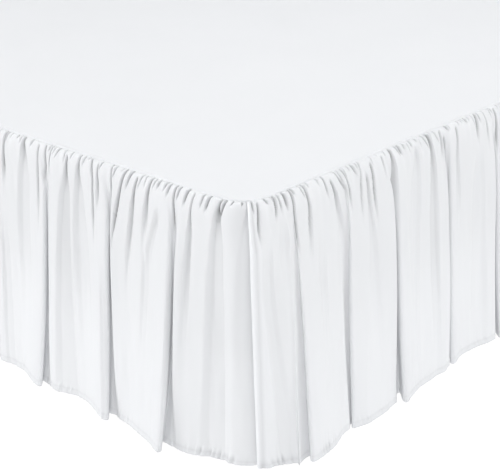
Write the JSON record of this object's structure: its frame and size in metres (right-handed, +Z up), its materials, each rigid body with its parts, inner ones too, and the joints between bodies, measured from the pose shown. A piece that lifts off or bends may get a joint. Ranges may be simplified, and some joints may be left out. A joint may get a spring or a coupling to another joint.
{
  "type": "bed skirt on a box spring",
  "caption": "White gathered bed skirt with split corners, hanging from a flat deck over a box spring on a plain steel bed frame.",
  "frame": {"origin": "on the floor, under the middle of the whole part", "axes": "+X to the right of someone standing at the foot and looking to the head, +Y along the bed to the head, +Z up"},
  "size_m": [1.6129, 2.0736, 0.3928],
  "materials": {
    "white_cloth": "plain fine weave, matt, softly sheened",
    "box_spring_cover": "quilted-look woven cover, matt",
    "painted_steel": "satin powder coat",
    "black_plastic": "moulded, matt"
  },
  "bodies": {
    "root": {"box_spring": "box_spring_cover", "cross_bar_foot": "painted_steel", "cross_bar_head": "painted_steel", "cross_bar_middle": "painted_steel", "deck": "white_cloth", "glide_foot_left": "black_plastic", "glide_foot_right": "black_plastic", "glide_head_left": "black_plastic", "glide_head_right": "black_plastic", "glide_middle_centre": "black_plastic", "glide_middle_left": "black_plastic", "glide_middle_right": "black_plastic", "leg_foot_left": "painted_steel", "leg_foot_right": "painted_steel", "leg_head_left": "painted_steel", "leg_head_right": "painted_steel", "leg_middle_centre": "painted_steel", "leg_middle_left": "painted_steel", "leg_middle_right": "painted_steel", "rail_left": "painted_steel", "rail_right": "painted_steel", "ruffle_foot": "white_cloth", "ruffle_left": "white_cloth", "ruffle_right": "white_cloth"}
  },
  "joints": []
}
